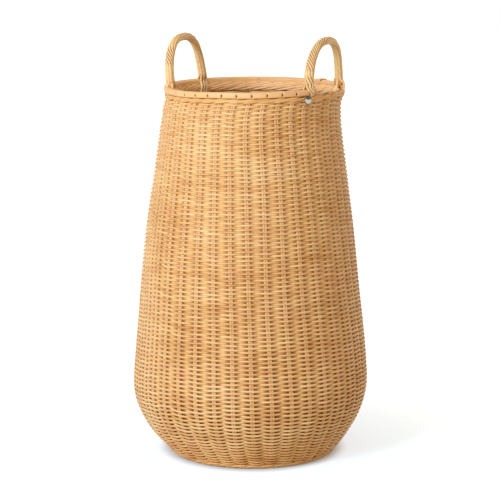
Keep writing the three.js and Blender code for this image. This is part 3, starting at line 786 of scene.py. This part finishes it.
def footStrand(start, side, values):
    # from the leg the outer strands go down outside the rim, and the others inside
    place = np.array([handle["legX"], side * values["legY"]])
    along = unit(place)
    across = np.array([-along[1], along[0]])
    out, beside = (start[:2] - place) @ along, (start[:2] - place) @ across
    bearing = math.degrees(math.atan2(beside, out))
    end = 0 if side > 0 else 1
    if abs(bearing) < 90:
        target, drop, bulge = rimOuter + values["outerSeat"][end], values["outerDrop"][end], 0
        slant, edge = values["slant"][end], values["edge"][end]
    else:
        bearing = math.copysign(180, bearing) - bearing
        target, drop, bulge = caneInner + foot["innerSeat"], foot["innerDrop"], foot["innerBulge"]
        slant, edge = foot["innerSlant"], noEdge
    slot = bearing * (handle["strandDiameter"] - foot["slotGap"]) / foot["slotTurn"]
    height = np.linspace(start[2], rimTop - drop, handle["footSamples"])
    down = rimTop - height
    blend = easeIn(down + foot["spreadFrom"], 0, foot["spreadOver"])
    tuck = easeIn(down, drop - foot["tuckLength"], drop)
    begin = np.hypot(*place) + out
    radius = begin + (target - begin) * blend - bulge * easeIn(down, *foot["bulgeFrom"])
    radius = radius + tuck * math.copysign(foot["tuckDepth"], neckRadius - target)
    shift = slot * (1 - foot["tuckNarrow"] * tuck) + slant * np.maximum(down + foot["slantFrom"], foot["slantBack"])
    edge = edge - foot["edgeSlope"] * np.maximum(down + foot["edgeFrom"], 0)
    radius = radius - foot["overTuck"] * np.clip(shift - edge, 0, foot["overMost"]) * blend
    beside = beside + (np.minimum(shift, edge) - beside) * blend
    path = radius[:, None] * along + beside[:, None] * across
    return np.concatenate([path, height[:, None]], axis=1)


def wrapMesh(label, values):
    # strands laid round the arch by the table, and led over the rim at both feet
    share = np.linspace(0, 1, handle["archSamples"])
    middle, outWay, away = archAt(share, values)
    coil = throughPoints(share, [0, 0.5, 1], values["coil"])
    coil = coil + handle["coilWander"] * lineNoise(seed=71, count=9, waveMost=60)(share)
    lay = -2 * np.pi * throughPoints(share, values["layShares"], values["layTurns"])
    steps = np.linalg.norm(np.gradient(middle, axis=0), axis=1)
    layAngle = np.arctan(np.abs(np.gradient(lay)) * coil / steps)
    twisted = easeIn(layAngle, *handle["twistFrom"])
    width = 2 * np.pi * coil / handle["strands"] * np.cos(layAngle)
    width = width * (handle["strandWidth"] - handle["twistNarrow"] * twisted)
    paths, outward = [], []
    footPoints = handle["footSamples"] - 1
    for strand in range(handle["strands"]):
        around = lay + 2 * np.pi * strand / handle["strands"]
        ray = np.cos(around)[:, None] * outWay + np.sin(around)[:, None] * away
        arch = middle + coil[:, None] * ray
        path = np.concatenate([footStrand(arch[0], 1, values)[:0:-1], arch, footStrand(arch[-1], -1, values)[1:]])
        paths.append(path * values["flip"])
        outward.append(np.pad(ray, ((footPoints, footPoints), (0, 0)), mode="edge") * values["flip"])
    width = np.pad(width, footPoints, constant_values=handle["strandDiameter"])
    creviceShade = np.pad(handle["creviceShade"] + handle["twistCreviceShade"] * twisted, footPoints,
                     constant_values=handle["footCreviceShade"])
    return tubeMesh("handleWrap" + label, paths, outward, width, handle["strandDiameter"], handle["sides"],
                    creviceShade=creviceShade, uvStart=values["uvStart"])


def collarMesh(label, values):
    # a wide strand wound once round one foot, tilted, where the strands part
    turn = 2 * np.pi * np.arange(collar["samples"]) / collar["samples"]
    ray = np.stack([np.cos(turn), np.sin(turn), collar["tilt"] * np.sin(turn)], -1)
    middle = np.array([handle["legX"], values["legY"], rimTop]) + collar["place"]
    path = (middle + collar["reach"] * ray) * values["flip"]
    return tubeMesh("handleCollar" + label, [path], ray * [1, 1, 0] * values["flip"], collar["width"],
                    collar["thickness"], collar["sides"], looped=True, squareness=collar["squareness"])


def bowMesh(label, values):
    # the bow along the arch, pared down to a flat tang at each foot
    share = np.linspace(0, 1, bow["samples"])
    middle, outWay, _ = archAt(share, values)
    footAngle = math.atan2(values["legY"], handle["legX"])
    height = np.linspace(wall["top"] - bow["tangReach"], rimTop - bow["tangGap"], bow["tangSamples"])
    radius = onLine(runAtHeight(height))[0]
    first, last = (onSpoke(side * footAngle + woundAt(height), radius, height) for side in (1, -1))
    path = np.concatenate([first, middle, last[::-1]])
    firstWay, lastWay = (np.broadcast_to(unit(tang[-1] * [1, 1, 0]), tang.shape) for tang in (first, last))
    outward = np.concatenate([firstWay, np.broadcast_to(outWay, middle.shape), lastWay])
    tip = easeIn(height - height[0], *bow["tip"])
    width, depth = (np.concatenate([tip * size, 0 * share + bow["diameter"], tip[::-1] * size])
                    for size in (bow["tangWidth"], bow["tangDepth"]))
    return tubeMesh("handleBow" + label, [path * values["flip"]], outward * values["flip"], width, depth, bow["sides"])


for label, values in handleSides.items():
    finishPiece(wrapMesh(label, values), strandCane, "cane_strand", "handle_wrap_" + label.lower())
    finishPiece(bowMesh(label, values), bowCane, "cane_bow", "handle_bow_" + label.lower())
    finishPiece(collarMesh(label, values), collarCane, "cane_strand", "handle_wrap_" + label.lower())
print("handles made")


# Stud: a domed metal tack on the near foot of the right handle
stud = {
    "diameter": 10.6, "height": 3.4, "edge": 0.6, "shank": 2.4, "shankLength": 6.0,
    "turn": math.radians(-4.0), "lower": 0.3, "stand": 2.6,  # from the solid's middle and the rim's face
    "point": 0.02, "rounding": (0.15, 0.2), "domeSamples": 12, "sides": 40,
    "cloud": (900.0, 4.0, 0.6), "gloss": (0.16, 0.34), "glossFrom": (0.3, 0.7),
    "edgeFrom": (0.0055, 0.0095), "edgeShade": 0.85, "shadeFrom": (2.2, 3.6), "shade": 0.9,
    "bump": (0.2, 0.00005),
}
studMiddle = middleOf("stud")


def studMaterial():
    # clouded metal, darker at its edge with painted shade and at its top with a painted dark reflection
    material = bpy.data.materials.new("studMetal")
    tree = clearedTree(material)
    cloud = cloudNoise(tree, *stud["cloud"])
    color = mixColor(tree, cloud, paint("#8d8d80"), paint("#d2d2c8"))
    edge = mapNode(tree, partOf(tree, placeOf(tree, "UV"), "X"), stud["edgeFrom"], (stud["edgeShade"], 0.0))
    heights = [(studMiddle[2] + height) * mm for height in stud["shadeFrom"]]
    upper = mapNode(tree, partOf(tree, placeOf(tree), "Z"), heights, (0.0, stud["shade"]))
    color = mixColor(tree, mathNode(tree, "MAXIMUM", edge, upper), color, paint("#4b4736"))
    rough = mapNode(tree, cloud, stud["glossFrom"], stud["gloss"])
    dress(tree, color, rough, cloud, stud["bump"], {"Metallic": 1.0})
    return material


def studMesh():
    # a profile of reach and radius turned about a spoke
    half, shankHalf, sides = stud["diameter"] / 2, stud["shank"] / 2, stud["sides"]
    turn = np.linspace(0, np.pi / 2, stud["domeSamples"])
    dome = np.stack([stud["edge"] + (stud["height"] - stud["edge"]) * np.sin(turn), half * np.cos(turn)], -1)
    dome[-1, 1] = stud["point"]
    shank = np.array([[-stud["shankLength"], stud["point"]], [-stud["shankLength"], shankHalf], [0, shankHalf],
                      [0, half - stud["rounding"][1]], [stud["rounding"][0], half]])
    profile = np.concatenate([shank, dome])[:, None]
    angle = math.atan2(studMiddle[1], studMiddle[0]) + stud["turn"]
    around = 2 * np.pi * np.arange(sides) / sides
    away = np.stack([-np.sin(angle) * np.cos(around), np.cos(angle) * np.cos(around), np.sin(around)], -1)
    spoke = onSpoke(angle, 1, 0)
    base = np.array([0, 0, studMiddle[2] - stud["lower"]])
    points = base + (rimOuter + stud["stand"] + profile[..., 0:1]) * spoke + profile[..., 1:2] * away[None]
    quads, places = gridFaces(len(profile), sides)
    uv = np.stack([places[..., 0] * mm, places[..., 1] / sides], -1)
    return buildMesh("studHead", points, quads, uv, endCaps(len(profile), sides))


finishPiece(studMesh(), studMaterial(), "stud_metal", "stud")
print("stud made")


# Base: sticks that cross, and a mat woven round and over them
base = {
    "diameter": 3.2, "flatness": 0.92, "pitch": 3.3, "reach": 2.5,
    "innerRadius": 14.0, "splitRadius": 46.0, "edgeGap": 0.3,  # outside the split two weavers chase each other
    "innerWaves": 9.5, "outerWaves": 19, "perWave": 10, "secondStart": 1.9, "secondLess": 0.3,
    "stickDiameter": 4.8, "stickSides": 12, "stickSamples": 24, "stickLength": 50,
    "crossGap": 2.5, "crossFrom": (1, 5), "crossLift": 1.6,  # how the rows clear the sticks
    "spokeDiameter": 2.8, "spokeStarts": (17.0, 47.0), "spokeSamples": 12,
}
matLow, matHigh = spanOf("base_weave")
matMiddle = (matLow[2] + matHigh[2]) / 2
sticks = [f"base_stick_{layer}_{number}" for layer in ("lower", "upper") for number in (1, 2, 3)]
upWay = np.array([0, 0, 1.0])


def stickMesh():
    paths = []
    for stick in sticks:
        low, high = spanOf(stick)
        share = np.linspace(-1, 1, base["stickSamples"])[:, None]
        paths.append((low + high) / 2 + share * (high - low) / 2 * ((high - low) > base["stickLength"]))
    return tubeMesh("baseSticks", paths, upWay, base["stickDiameter"], sides=base["stickSides"])


def matPath(firstRadius, lastRadius, rounds, waves, sign):
    # a flat spiral that swings over and under the spokes, and clears the sticks
    samples = int(rounds * max(waves, base["outerWaves"]) * base["perWave"])
    angle = np.linspace(0, 2 * np.pi * rounds, samples)
    radius = firstRadius + (lastRadius - firstRadius) * angle / angle[-1]
    swing = sign * np.sin(waves * (angle - wall["wind"]))
    x, y = radius * np.cos(angle), radius * np.sin(angle)
    crossEdge = abs(middleOf(sticks[0])[1]) + base["crossGap"]
    offLower, offUpper = (easeIn(np.abs(part) - crossEdge, *base["crossFrom"]) for part in (y, x))
    height = matMiddle + base["reach"] * swing * offLower * offUpper + base["crossLift"] * (offUpper - offLower)
    return np.stack([x, y, height], -1)


def matMeshes():
    edge, split, pitch = matHigh[0] - base["diameter"] / 2 - base["edgeGap"], base["splitRadius"], base["pitch"]
    innerRounds, outerRounds = (split - base["innerRadius"]) / pitch, (edge - split) / pitch / 2
    paths = {
        "baseMatA": matPath(base["innerRadius"], split, innerRounds, base["innerWaves"], 1),
        "baseMatB": matPath(split + pitch, edge, outerRounds, base["outerWaves"], 1),
        "baseMatC": matPath(split + pitch * base["secondStart"], edge, outerRounds - base["secondLess"],
                            base["outerWaves"], -1),
    }
    flat = base["diameter"] * base["flatness"]
    made = [tubeMesh(name, [path], upWay, base["diameter"], flat) for name, path in paths.items()]
    angle = (np.arange(wall["stakes"]) + 0.5) * stakePitch + wall["wind"]
    start = np.resize(base["spokeStarts"], wall["stakes"])[:, None]
    radius = start + (edge - start) * np.linspace(0, 1, base["spokeSamples"])
    spokes = onSpoke(angle[:, None] + 0 * radius, radius, matMiddle)
    return made + [tubeMesh("baseSpokes", spokes, upWay, base["spokeDiameter"])]


finishPiece(stickMesh(), baseCane, "cane_base", *sticks)
for piece in matMeshes():
    finishPiece(piece, baseCane, "cane_base", "base_weave")
print("base made")


# Stage: a white floor, soft light from the left, and the camera
stage = {
    "floorReach": 9.0, "floorTint": (0.49, 0.675, 0.925, 1),
    "bounceTint": (0.6, 0.6, 0.52, 1),  # what the floor throws back on the basket
    # the dark, warm glow round the foot is a painted contact shadow with painted bounce
    "footPlace": (0.0043, -0.0019, 0.0), "footShadowGlow": (0.16, 0.125, 0.09, 1), "footShadowReach": (0.113, 0.141),
    "nearGlow": (0.655, 0.677, 0.717, 1), "shadowFadeReach": (0.16, 0.64), "white": (1, 1, 1, 1),
    "worldLight": 0.6, "worldTint": (1.0, 0.69, 0.4, 1),
    "keyPower": 28.6, "keySize": 0.8, "keyPlace": (-0.55, -2.08, 1.25), "keyAim": (0, 0, 0.28),
    "viewPitch": math.radians(10.28), "viewDistance": 2.723, "viewHeight": 0.7843, "lens": 138.45,
}


def isSeen(tree):
    # 1 for what the camera sees, straight or in the stud
    rays = addNode(tree, "ShaderNodeLightPath").outputs
    return mathNode(tree, "MAXIMUM", rays["Is Camera Ray"], rays["Is Glossy Ray"])


def floorMaterial():
    # its glow is white far off, which paints the basket's shadow out there; it is weaker near the basket, where the
    # shadow shows, and weakest under and just round its foot, where it is a painted contact shadow with a warm painted
    # bounce
    material = bpy.data.materials.new("floorWhite")
    tree = clearedTree(material)
    seen = isSeen(tree)
    tint = mixColor(tree, seen, stage["bounceTint"], stage["floorTint"])
    surface = addNode(tree, "ShaderNodeBsdfDiffuse", None, {"Color": tint})
    away = addNode(tree, "ShaderNodeVectorMath", {"operation": "DISTANCE"}, {
        0: placeOf(tree), 1: stage["footPlace"]}).outputs["Value"]
    # near is the painted contact shadow round the foot, far the painted light that fades the shadow out
    near, far = (mapNode(tree, away, stage[name], kind="SMOOTHSTEP") for name in ("footShadowReach", "shadowFadeReach"))
    glow = mixColor(tree, near, stage["footShadowGlow"], stage["nearGlow"])
    glow = mixColor(tree, far, glow, stage["white"])
    emission = addNode(tree, "ShaderNodeEmission", None, {"Color": glow, "Strength": seen})
    both = addNode(tree, "ShaderNodeAddShader", None, {0: surface.outputs[0], 1: emission.outputs[0]})
    addNode(tree, "ShaderNodeOutputMaterial", None, {"Surface": both.outputs[0]})
    return material


mesh = bpy.data.meshes.new("floor")
reach = stage["floorReach"]
corners = [(-reach, -reach, 0), (reach, -reach, 0), (reach, reach, 0), (-reach, reach, 0)]
mesh.from_pydata(corners, [], [(0, 1, 2, 3)])
mesh.materials.append(floorMaterial())
floor = placeObject("floor", mesh)

world = bpy.data.worlds.new("studio")
scene.world = world
tree = clearedTree(world)
seen = isSeen(tree)
strength = mapNode(tree, seen, (0.0, 1.0), (stage["worldLight"], 1.0))
tint = mixColor(tree, seen, stage["worldTint"], stage["white"])
background = addNode(tree, "ShaderNodeBackground", None, {"Color": tint, "Strength": strength})
addNode(tree, "ShaderNodeOutputWorld", None, {"Surface": background.outputs[0]})

lamp = bpy.data.lights.new("keyLight", "AREA")
lamp.shape = "DISK"
lamp.size = stage["keySize"]
lamp.energy = stage["keyPower"]
key = placeObject("keyLight", lamp)
key.location = stage["keyPlace"]
key.rotation_euler = (Vector(stage["keyAim"]) - key.location).to_track_quat("-Z", "Y").to_euler()

data = bpy.data.cameras.new("camera")
data.lens = stage["lens"]
camera = placeObject("camera", data)
camera.location = onSpoke(viewAzimuth - np.pi / 2, stage["viewDistance"], stage["viewHeight"])
camera.rotation_euler = (np.pi / 2 - stage["viewPitch"], 0, viewAzimuth)
scene.camera = camera
scene.view_settings.view_transform = "Standard"
print("stage made")
